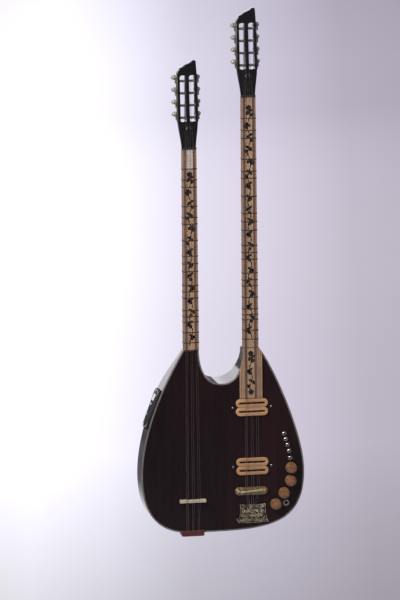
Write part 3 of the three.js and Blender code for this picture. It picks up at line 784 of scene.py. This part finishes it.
def leaf(x, z, length, width, angle, n=9):
    """A pointed leaf outline, starting at its stalk."""
    pts = []
    for i in range(n + 1):
        t = i / n
        pts.append((length * t, width * math.sin(math.pi * t) ** 0.8 * (1 - 0.35 * t)))
    for i in range(n - 1, 0, -1):
        t = i / n
        pts.append((length * t, -width * math.sin(math.pi * t) ** 0.8 * (1 - 0.35 * t)))
    c, s = math.cos(angle), math.sin(angle)
    return [(x + c * u - s * v, z + s * u + c * v) for u, v in pts]


def ribbon(path, width):
    """A flat band along a path in the X-Z plane."""
    left, right_side = [], []
    for i, (x, z) in enumerate(path):
        ax, az = path[max(0, i - 1)]
        bx, bz = path[min(len(path) - 1, i + 1)]
        d = Vector((bx - ax, bz - az)).normalized()
        w = width * (0.75 + 0.35 * math.sin(i * 1.7))
        left.append((x - d.y * w / 2, z + d.x * w / 2))
        right_side.append((x + d.y * w / 2, z - d.x * w / 2))
    return left + right_side[::-1]


def vine(name, cx, top, foot, period=52.0, swing=3.0):
    """An inlaid climbing stem with leaves to both sides and a flower at one end."""
    parts = []
    count = int((top - foot) / 2.0)
    stem = []
    for i in range(count + 1):
        z = top - (top - foot) * i / count
        stem.append((cx + swing * math.sin(2 * math.pi * (top - z) / period), z))
    y0, y1 = BOARD_FRONT - 0.2, BOARD_FRONT + 0.1

    def inlay(loop):
        parts.append((plate("inlay", [loop], y0, y1), vine_mat))

    for i in range(0, count - 1, 8):
        inlay(ribbon(stem[i : min(i + 9, count) + 1], 2.5))
    z = top - 6
    k = 0
    while z > foot + 6:
        x = cx + swing * math.sin(2 * math.pi * (top - z) / period)
        side = 1 if math.cos(2 * math.pi * (top - z) / period) < 0 else -1
        wide = 4.2 if k % 3 else 5.0
        aim = (math.pi / 2 - side * 0.75) if k % 2 else (-math.pi / 2 + side * 0.65)
        inlay(leaf(x, z, 12.0 - 1.5 * (k % 3), wide, aim))
        if k % 2 == 0:
            inlay(leaf(x, z - 2, 8.0, 3.2, math.pi / 2 + side * 0.9))
        z -= 12.5 + 2.5 * math.sin(k * 2.1)
        k += 1
    for end in (top, foot):
        if abs(end - top) < 1 and top - foot > 60 or abs(end - foot) < 1 and top - foot < 100:
            for q in range(5):
                a = 2 * math.pi * q / 5 + 0.4
                inlay(circle(cx + 3.0 * math.cos(a), end + 3.2 * math.sin(a), 2.9, 14))
    return joined(name, parts)


piece("right_vine_neck", vine("right_vine_neck", PITCH, 885, 404), None)
piece("right_vine_body", vine("right_vine_body", PITCH, 375, 295, 40), None)
piece("left_vine", vine("left_vine", 0, 752, 398), None)

# pearl panel below the left nut, its pale colour partly pearl and partly a painted reflection of glare on
# the gloss, and the dark line across the right board at the body's edge
parts = []
nut = NECKS["left"][1]
for x0, x1, mat in ((-7, 7, pearl_mat), (-11.4, -8.2, rim_mat), (8.2, 11.4, rim_mat)):
    loop = rect(x0, x1, nut - 44, nut - 2.4)
    parts.append((plate("pearl", [loop], BOARD_FRONT - 0.14, BOARD_FRONT + 0.1), mat))
piece("pearl_and_glare_panel", joined("pearl_and_glare_panel", parts), None)
outline = rect(PITCH - 16.5, PITCH + 16.0, 386.6, ROOT_Z)
line = plate("root_line", [outline], BOARD_FRONT - 0.1, BOARD_FRONT + 0.1)
line_mat = grain_wood("root_line_wood", (0.05, 0.008, 0.006), (0.10, 0.016, 0.010), 0.35, 0.4, "X")
piece("root_line", line, line_mat)

# --- tuning machines
FIRST, STEP, AXIS_Y, WORM_Z, KEY_X = 62.0, 25.0, 8.0, 6.5, 23.3


def gear(radius, thickness, teeth=15):
    loop = []
    for i in range(teeth * 4):
        a = 2 * math.pi * i / (teeth * 4)
        r = radius if i % 4 in (0, 1) else radius - 0.85
        loop.append((r * math.cos(a), r * math.sin(a)))
    return plate("gear", [loop, circle(0, 0, 1.0, 12)], -thickness / 2, thickness / 2, 0.15, 1)


QUARTER = Matrix.Rotation(math.pi / 2, 4, "Z")

for neck in NECKS:
    place = head_matrix(neck)
    for name, side in (("bass", -1), ("treble", 1)):
        outwards = Matrix.Rotation(side * math.pi / 2, 4, "Z")
        # side plate with rounded ends, lugs and screws
        parts = []
        ends = (FIRST - 9.5, FIRST + 3 * STEP + 12.5)
        loop = [(1.7, ends[0] + 2), (3.2, ends[0]), (13.2, ends[0]), (14.7, ends[0] + 2),
                (14.7, ends[1] - 2), (13.2, ends[1]), (3.2, ends[1]), (1.7, ends[1] - 2)]
        flat = plate("flat", [loop], -0.5, 0.5, 0.3, 2)
        flat.transform(QUARTER)
        flat.transform(at(side * 20.85, 0, 0))
        parts.append((flat, nickel))
        for k in range(4):
            z = FIRST + STEP * k
            for y0, y1 in ((2.2, 3.2), (12.8, 13.8)):
                lug = plate("lug", [pill(0, 0, 2.6, 2.3, 8)], y0, y1, 0.2, 1)
                lug.transform(at(side * 23.2, 0, z + WORM_Z))
                parts.append((lug, nickel))
                web = plate("web", [rect(-1.4, 1.4, -2.2, 2.2)], y0, y1, 0.2, 1)
                web.transform(at(side * 22.0, 0, z + WORM_Z))
                parts.append((web, nickel))
            screw = lathe("screw", [(0, 0), (1.7, 0), (1.7, 0.5), (1.1, 1.0), (0, 1.1)], 16)
            screw.transform(outwards)
            screw.transform(at(side * 21.3, 8, z + 15.2 if k < 3 else z - 8))
            parts.append((screw, nickel))
        mesh = joined("machine_plate", parts)
        mesh.transform(place)
        finish_mesh(mesh, 35)
        piece(f"{neck}_{name}_plate", mesh, None, replaces=(f"{neck}_{name}_machine_plate",))
        for k in range(4):
            tag = f"{neck}_{name}_{k + 1}"
            z = FIRST + STEP * k
            # roller: a waisted barrel between its ends, with the wheel outside
            parts = []
            barrel = lathe("barrel", [(0, 1.3), (2.4, 1.3), (3.0, 1.8), (3.0, 3.2), (2.5, 3.8), (2.5, 14.2),
                                      (3.0, 14.8), (3.0, 22.3), (0, 22.3)], 24)
            barrel.transform(outwards)
            parts.append((barrel, nickel))
            wheel = gear(4.7, 2.0)
            wheel.transform(QUARTER)
            wheel.transform(at(side * 23.3, 0, 0))
            parts.append((wheel, nickel))
            pin = lathe("pin", [(0, 0), (2.0, 0), (2.0, 0.5), (1.2, 0.9), (0, 1.0)], 16)
            pin.transform(outwards)
            pin.transform(at(side * 23.9, 0, 0))
            parts.append((pin, nickel))
            # the string's turns on the barrel
            wraps = [
                (
                    side * (6.5 + 0.75 * t / 12),
                    -2.7 * math.cos(t * math.pi / 6),
                    2.7 * math.sin(t * math.pi / 6),
                )
                for t in range(50)
            ]
            parts.append((tube("turns", wraps, 0.28, False, 1), string_steel))
            mesh = joined("roller", parts)
            mesh.transform(place @ at(0, AXIS_Y, z))
            piece(f"roller_{tag}", mesh, None, "roller_" + tag, (f"string_roller_{tag}",))
            # key: worm, shaft and an oval pearl button
            parts = []
            stem = lathe("stem", [
                (0, -1.3), (1.05, -1.4), (1.05, -3.4), (1.2, -3.7), (1.2, -12.2), (1.05, -12.5),
                (1.05, -16.0), (2.2, -16.4), (2.4, -17.3), (1.7, -18.3), (1.6, -19.0), (0, -19.0),
            ], 20)
            parts.append((stem, nickel))
            thread = [(1.2 * math.cos(a), 3.9 + 8.1 * t / 90, 1.2 * math.sin(a)) for t in range(91)
                      for a in (2 * math.pi * t / 11.25,)]
            parts.append((tube("thread", thread, 0.32, False, 1), nickel))
            rings = []
            for i in range(15):
                t = i / 14
                y = 17.2 + 11.6 * t
                r = math.sin(math.pi * min(0.985, max(0.02, 0.10 + 0.88 * t))) ** 0.62
                turns = [2 * math.pi * j / 28 for j in range(28)]
                rings.append([
                    (7.2 * r * math.cos(a), y, (5.4 - abs(math.cos(a))) * r * math.sin(a))
                    for a in turns
                ])
            button = skin("button", rings, 60)
            parts.append((button, button_mat))
            mesh = joined("key", parts)
            mesh.transform(place @ at(side * KEY_X, 0, z + WORM_Z))
            piece(f"key_{tag}", mesh, None, "key_" + tag, (f"tuning_key_{tag}",))

# --- pickups
for name, z in (("neck_pickup", 263), ("bridge_pickup", 140)):
    parts = []
    for side in (-1, 1):
        zc = z + side * 8.8
        loops = [pill(PICK_X, zc, 33.3, 8.75, 18), pill(PICK_X, zc, 27.0, 1.9, 8)]
        shell = plate("coil", loops, -4.2, 6.0, 1.1, 3)
        parts.append((shell, pickup_mat))
        parts.append((plate("rail", [pill(PICK_X, zc, 25.5, 1.2, 8)], -3.6, 4.5, 0.3, 1), steel_dark))
        parts.append((plate("well", [pill(PICK_X, zc, 27.4, 2.2, 8)], -2.2, 4.0), steel_dark))
    base = plate("base", [pill(PICK_X, z, 33.0, 12, 14)], 5.0, 15.0, 0.4, 1)
    parts.append((base, plastic))
    piece(name + "_shell", joined(name, parts), None, replaces=(name,))
    parts = []
    for side in (-1, 1):
        cx = PICK_X + side * 39.7
        head = lathe("screw", [(0, -0.4), (2.6, -0.4), (2.6, 0.3), (2.1, 1.1), (1.2, 1.6), (0, 1.75)], 24)
        head.transform(at(cx, 0, z))
        parts.append((head, chrome))
        # painted shade: a dark bar laid on the screw head stands for the shadow in its slot
        slot_shade_bar = plate("slot", [rect(cx - 1.9, cx + 1.9, z - 0.28, z + 0.28)], -1.85, -0.9)
        parts.append((slot_shade_bar, steel_dark))
    piece(name + "_screws", joined(name + "_screws", parts), None)

# --- bridges, tailpiece, tail block
FB_Z = NECKS["left"][2]
arch = [
    (-27, -9.9), (27, -9.9), (27, -0.3), (19, -0.3), (16, -2.6), (8, -3.4), (0, -3.6),
    (-8, -3.4), (-16, -2.6), (-19, -0.3), (-27, -0.3),
]
rings = []
for t in range(11):
    s = -1 + 2 * t / 10
    ease = 1.0 if abs(s) < 0.9 else 0.98
    rings.append([(x, y, FB_Z + s * (3.75 - 1.0 * max(0.0, (-y - 5) / 5)) * ease) for x, y in arch])
fb = new_mesh("floating_bridge", *loft(rings), 30)
recalc(fb)
obj = piece("floating_bridge_bar", fb, bone_mat, replaces=("floating_bridge",))
mod = obj.modifiers.new("soft", "BEVEL")
mod.width = 0.7 * MM
mod.segments = 3
mod.limit_method = "ANGLE"

bx, bz = 122.5, 89.0
parts = [(plate("capsule", [pill(bx, bz, 34, 8.4, 20)], -3.5, -0.3, 1.0, 3), gold_mat)]
parts.append((plate("inner", [pill(bx, bz, 30.5, 6.2, 18)], -4.3, -3.0, 0.5, 2), gold_mat))
saddle = plate("saddle", [pill(0, 0, 23, 1.5, 6)], -8.6, -3.0, 0.5, 2)
saddle.transform(at(bx, 0, bz) @ Matrix.Rotation(math.radians(-3.6), 4, "Y"))
parts.append((saddle, bone_mat))
for end in (-1, 1):
    post = lathe("post", [(0, 3), (4.2, 3), (4.4, 4.2), (3.6, 5.2), (3.9, 6.1), (2.6, 6.7), (0, 6.8)], 28)
    post.transform(at(bx + end * 27.4, 0, bz))
    parts.append((post, gold_mat))
    bead = lathe("bead", [(0, 6.6), (1.8, 6.7), (2.1, 7.4), (1.4, 8.0), (0, 8.2)], 20)
    bead.transform(at(bx + end * 27.4, 0, bz))
    parts.append((bead, pearl_mat if end < 0 else gold_mat))
for k in range(10):
    x = bx - 20.5 + 41 * k / 9
    for s in (-1, 1):
        dot = lathe("dot", [(0, 4.1), (1.25, 4.1), (1.1, 4.7), (0, 5.0)], 12)
        dot.transform(at(x, 0, bz + s * 4.3))
        parts.append((dot, pearl_mat if k % 3 == 0 else gold_mat))
mesh = joined("fixed_bridge_set", parts)
piece("fixed_bridge_set", mesh, None, replaces=("fixed_bridge",))

# tailpiece: a dark ground under a raised edge and rows of wire scrolls
TX, TF, TT = 125.5, 23.0, 62.0


def quad_curve(p0, c, p1, n=12):
    return [
        (
            (1 - t) ** 2 * p0[0] + 2 * (1 - t) * t * c[0] + t * t * p1[0],
            (1 - t) ** 2 * p0[1] + 2 * (1 - t) * t * c[1] + t * t * p1[1],
        )
        for t in [i / n for i in range(n)]
    ]


tail_loop = quad_curve((TX - 33, TF), (TX, TF - 2.5), (TX + 33, TF))
tail_loop += quad_curve((TX + 33, TF), (TX + 25.5, TF + 14), (TX + 27, TT))
tail_loop += quad_curve((TX + 27, TT), (TX, TT - 3.5), (TX - 27, TT))
tail_loop += quad_curve((TX - 27, TT), (TX - 25.5, TF + 14), (TX - 33, TF))
parts = [(plate("ground", [tail_loop], -2.1, -0.3, 0.4, 2), silver_base)]
rim_path = [(x, -2.2, z) for x, z in inset(tail_loop, 0.9)]
parts.append((tube("rim", rim_path, 0.75, True, 2), silver))


def scroll(cx, cz, size, phase, hand):
    pts = []
    for i in range(26):
        t = i / 25
        a = phase + hand * t * 2.6 * math.pi
        r = size * (1 - 0.86 * t)
        pts.append((cx + r * math.cos(a), -2.25 - 0.25 * t, cz + r * math.sin(a)))
    return pts


for row in range(4):
    zc = TF + 5.2 + 9.4 * row
    half = 30 - 1.3 * row - 2.2 * math.sin(math.pi * row / 3)
    count = 7
    for k in range(count):
        xc = TX - half + 4.2 + (2 * half - 8.4) * k / (count - 1)
        hand = 1 if (k + row) % 2 else -1
        parts.append((tube("scroll", scroll(xc, zc, 3.9, 0.6 * k + row, hand), 0.5, False, 1), silver))
        bead = lathe("bead", [(0, 2.2), (1.0, 2.2), (0.9, 2.8), (0, 3.1)], 10)
        bead.transform(at(xc, 0, zc))
        parts.append((bead, silver))
        if k:
            middle = xc - (half * 2 - 8.4) / (count - 1) / 2
            link = [
                (middle + 1.5 * math.sin(t * 1.2 + row), -2.3, zc - 4.4 + 8.8 * t / 8)
                for t in range(9)
            ]
            parts.append((tube("link", link, 0.42, False, 1), silver))
tail_screw = lathe("tail_screw", [(0, 0.2), (3.0, 0.2), (3.0, 1.1), (2.3, 2.1), (0, 2.5)], 24)
tail_screw.transform(at(94, 0, 29))
parts.append((tail_screw, chrome))
mesh = joined("tailpiece_filigree", parts)
piece("tailpiece_filigree", mesh, None, replaces=("tailpiece",))

tail_obj = bpy.data.objects["tail_block"]
tail_obj.data.materials.clear()
tail_obj.data.materials.append(tail_wood_mat)

# --- knobs, switches, jack
for i, (x, _, z) in enumerate(knob_spots, 1):
    parts = []
    skirt = lathe("skirt", [
        (0, -14), (2.9, -14), (2.9, 0.7), (11.2, 0.7), (11.6, 1.3), (11.6, 3.0), (11.1, 4.0),
        (10.7, 11.6), (10.1, 12.9), (9.0, 13.5), (8.3, 13.5), (8.3, 12.4), (0, 12.4),
    ], 56)
    parts.append((skirt, rim_mat))
    cap = lathe("cap", [(0, 12.0), (8.1, 12.0), (8.1, 12.9), (7.0, 13.5), (4.0, 13.8), (0, 13.95)], 48)
    parts.append((cap, burr_mat))
    for q in range(18):
        a = 2 * math.pi * q / 18
        rib = lathe("rib", [(0, 3.8), (0.5, 4.0), (0.5, 11.2), (0, 11.6)], 8)
        rib.transform(at(11.05 * math.cos(a), 0, 11.05 * math.sin(a)))
        parts.append((rib, rim_mat))
    mesh = joined("knob", parts)
    mesh.transform(at(x, 0, z))
    piece(f"knob_{i}_set", mesh, None, f"knob_{i}", (f"control_knob_{i}",))

for i, (x, z) in enumerate(LEVERS, 1):
    lever = lathe("lever", [
        (0, -5), (1.1, -5), (1.1, 1.0), (1.0, 2), (1.35, 6), (1.7, 11), (1.65, 12.3), (1.1, 13.0),
        (0, 13.2),
    ], 24)
    lever.transform(Matrix.Rotation(math.radians(-12), 4, "X"))
    lever.transform(at(x, 1.0, z))
    piece(f"lever_{i}_bat", lever, chrome, f"lever_{i}", (f"toggle_lever_{i}",))
    profile = [(2.6, -3.5), (3.2, -3.5), (3.2, 1.9), (2.6, 2.4), (2.0, 2.3), (2.0, -3.5)]
    collar = lathe("collar", profile, 28)
    ring = plate("nut", [hexagon(5.0, 0.3 * i), circle(0, 0, 3.1, 20)], -1.4, -0.1, 0.3, 2)
    parts = [(collar, chrome), (ring, chrome)]
    mesh = joined("bushing", parts)
    mesh.transform(at(x, 0, z))
    piece(f"switch_bushing_{i}", mesh, None)

jx, jz = JACK
parts = [
    (plate("washer", [circle(0, 0, 6.6, 40), circle(0, 0, 4.4, 30)], -0.7, -0.02, 0.2, 1), chrome),
    (plate("nut", [hexagon(6.2, 0.26), circle(0, 0, 4.2, 30)], -2.3, -0.7, 0.35, 2), chrome),
    (plate("sleeve", [circle(0, 0, 4.3, 32), circle(0, 0, 3.2, 32)], -2.6, 20, 0.3, 2), chrome),
]
mesh = joined("jack", parts)
mesh.transform(at(jx, 0, jz))
piece("jack_set", mesh, None, replaces=("output_jack",))

# --- preamp
wall = [(x, z) for x, z in OUTLINE if x < 0 and 221.5 < z < 303.5]
top, foot = Vector(wall[0]), Vector(wall[-1])
if top.y < foot.y:
    top, foot = foot, top
along = (top - foot).normalized()
normal = Vector((-along.y, along.x))
if normal.x > 0:
    normal = -normal
mid = (top + foot) / 2
reach = (top - foot).length / 2
P_FRONT, P_BACK, P_CORNER = 4.8, 50.0, 8.0


def on_panel(u, y, lift=0.0):
    """A point on the panel: u along the wall from its middle, y its depth."""
    out = 3.2 + 3.4 * (1 - (u / reach) ** 2) + lift
    p = mid + along * u + normal * out
    return (p.x, y, p.y)


def rounded(u0, u1, y0, y1, r, n=8):
    pts = []
    corners = (
        (u1 - r, y0 + r, -90), (u1 - r, y1 - r, 0), (u0 + r, y1 - r, 90), (u0 + r, y0 + r, 180),
    )
    for cu, cy, a0 in corners:
        for i in range(n + 1):
            a = math.radians(a0 + 90 * i / n)
            pts.append((cu + r * math.cos(a), cy + r * math.sin(a)))
    return pts


def patch(name, u0, u1, y0, y1, r, low, high):
    """A panel that follows the swelling face, from low to high above it."""
    rings = []
    outline = rounded(u0, u1, y0, y1, r, 8)
    uc, yc = (u0 + u1) / 2, (y0 + y1) / 2
    levels = [(low, 1.0), (high - 0.5, 1.0)]
    levels += [(high, shrink) for shrink in (0.985, 0.75, 0.5, 0.25, 0.01)]
    for lift, shrink in levels:
        rings.append([on_panel(uc + (u - uc) * shrink, yc + (y - yc) * shrink, lift) for u, y in outline])
    mesh = skin(name, rings, 40)
    return mesh


parts = [(patch("panel", -reach, reach, P_FRONT, P_BACK, P_CORNER, -7.0, 0.0), plastic)]
trim = [on_panel(u, y, 0.0) for u, y in rounded(-reach + 3.5, reach - 3.5, P_FRONT + 10.5, P_BACK - 5.5, 6)]
parts.append((tube("trim", trim, 0.55, True, 2), pearl_mat))
for k in range(4):
    u = -reach + 17 + 11.5 * k
    parts.append((patch("slot", u - 0.9, u + 0.9, 19, 42, 0.8, -0.3, 0.05), steel_dark))
    y = 26 + 3.5 * ((k * 2) % 3)
    slide = patch("slide", u - 2.2, u + 2.2, y, y + 4.6, 1.0, -0.2, 1.8)
    parts.append((slide, pearl_mat if k % 2 else nickel))
parts.append((patch("window", reach - 26, reach - 12, 22, 40, 2.0, -0.3, 0.35), pearl_mat))
parts.append((patch("button", reach - 9.5, reach - 5, 28, 34, 2.2, -0.2, 1.0), nickel))
piece("preamp_panel", joined("preamp_panel", parts), None, replaces=("preamp",))

# --- strings
COURSES = [(-12.6, -7.6, 3), (0.0, 0.0, 2), (12.2, 7.6, 2)]
FEED = [(-1, 0), (-1, 1), (-1, 2), (-1, 3), (1, 3), (1, 1), (1, 0)]
for neck, (nx, nut, bridge) in NECKS.items():
    parts = []
    index = 0
    crown = -10.1 if neck == "left" else -8.9
    for at_bridge, at_nut, count in COURSES:
        for k in range(count):
            off = (k - (count - 1) / 2)
            xb = nx + at_bridge + off * (2.2 if count == 3 else 4.2)
            xn = nx + at_nut + off * (1.5 if count == 3 else 2.4)
            side, roller = FEED[index]
            radius = 0.34 if (count == 3 and k == 1) else (0.2 if at_bridge > 0 else 0.24)
            if neck == "left":
                tail_point = (nx + at_bridge * 0.9 + off * 2.0, -4.3, 11.5)
                low = (nx + at_bridge * 0.9 + off * 2.0, -3.6, 6.0)
            else:
                tail_point = (xb * 0.5 + nx * 0.5 + off, -3.2, 59.5)
                low = (xb * 0.5 + nx * 0.5 + off, -2.6, 56.0)
            z_r = FIRST + STEP * roller
            start = head_matrix(neck) @ Vector((side * 7.0 * MM, (AXIS_Y - 2.7) * MM, z_r * MM))
            past_nut = (xn + (side * 7.0 + nx - xn) * 0.02, -4.8, nut + 2.0)
            path = [low, tail_point, (xb, crown, bridge), (xn, -4.9, nut), past_nut]
            path.append(tuple(c / MM for c in start))
            mat = wound_mat if (count == 3 and k == 1) else string_steel
            parts.append((tube("string", path, radius, False, 1), mat))
            index += 1
    piece(neck + "_strings", joined(neck + "_strings", parts), None)

# --- studio
def stage_plane(name, corners, mat):
    mesh = bpy.data.meshes.new(name)
    mesh.from_pydata(corners, [], [tuple(range(len(corners)))])
    mesh.materials.append(mat)
    obj = bpy.data.objects.new(name, mesh)
    scene.collection.objects.link(obj)
    return obj


floor_mat = Mat("studio_floor_painted_glow", 0.9, spec=0.0)
floor_mat.colour(floor_mat.ramp(floor_mat.noise(3), [(0.3, (0.30, 0.29, 0.32)), (0.7, (0.32, 0.31, 0.34))]))
# painted light: the floor glows in a soft pool behind the object, brightest to its left
skew = floor_mat.math("MULTIPLY", floor_mat.axis("Y"), 0.19)
across = floor_mat.math("SUBTRACT", floor_mat.axis("X"), skew)
across = floor_mat.math("DIVIDE", floor_mat.math("ADD", across, 1.6), 3.2)
painted_light_pool = floor_mat.ramp(across, [
    (0.10, (0.05, 0.05, 0.055)), (0.30, (0.92, 0.91, 0.98)), (0.385, (1.06, 1.04, 1.14)),
    (0.44, (0.90, 0.88, 1.0)), (0.50, (0.66, 0.63, 0.74)), (0.56, (0.56, 0.52, 0.63)),
    (0.63, (0.42, 0.38, 0.46)), (0.80, (0.30, 0.27, 0.33)),
])
# painted light: the glow dims towards the front and towards the far back
depth = floor_mat.math("DIVIDE", floor_mat.axis("Y"), 12.0)
painted_light_falloff = floor_mat.ramp(depth, [
    (0.10, (0.30, 0.30, 0.30)), (0.20, (0.60, 0.61, 0.60)), (0.32, (0.93, 0.93, 0.93)),
    (0.50, (1.0, 1.0, 0.98)), (0.76, (0.98, 0.98, 1.0)), (1.0, (0.75, 0.75, 0.79)),
])
floor_mat.l.new(floor_mat.mix(1.0, painted_light_pool, painted_light_falloff, "MULTIPLY"), floor_mat.b.inputs["Emission Color"])
floor_mat.b.inputs["Emission Strength"].default_value = 1.06
stage_plane("floor", [(-60, -60, -0.6), (60, -60, -0.6), (60, 60, -0.6), (-60, 60, -0.6)], floor_mat.mat)

world = bpy.data.worlds.new("studio")
world.use_nodes = True
world.node_tree.nodes["Background"].inputs["Color"].default_value = (0.90, 0.88, 0.95, 1)
world.node_tree.nodes["Background"].inputs["Strength"].default_value = 0.10
scene.world = world


def area(name, place, aim, size, power, colour=(1, 1, 1)):
    light = bpy.data.lights.new(name, "AREA")
    light.shape = "RECTANGLE"
    light.size, light.size_y = size
    light.energy = power
    light.color = colour
    obj = bpy.data.objects.new(name, light)
    direction = Vector(aim) - Vector(place)
    obj.location = place
    obj.rotation_euler = direction.to_track_quat("-Z", "Y").to_euler()
    scene.collection.objects.link(obj)


area("key", (-1.9, -1.7, 2.6), (0.05, 0, 0.5), (1.2, 1.2), 135, (1.0, 0.96, 0.91))
area("fill", (2.2, -1.6, 2.2), (0.05, 0, 0.5), (1.4, 1.4), 22, (0.95, 0.95, 1.0))
area("shoulder", (-1.1, 7.6, 1.45), (0.0, 0, 0.35), (6.4, 2.6), 62, (0.96, 0.94, 1.0))
for light in [o for o in scene.objects if o.type == "LIGHT"]:
    light.visible_camera = False
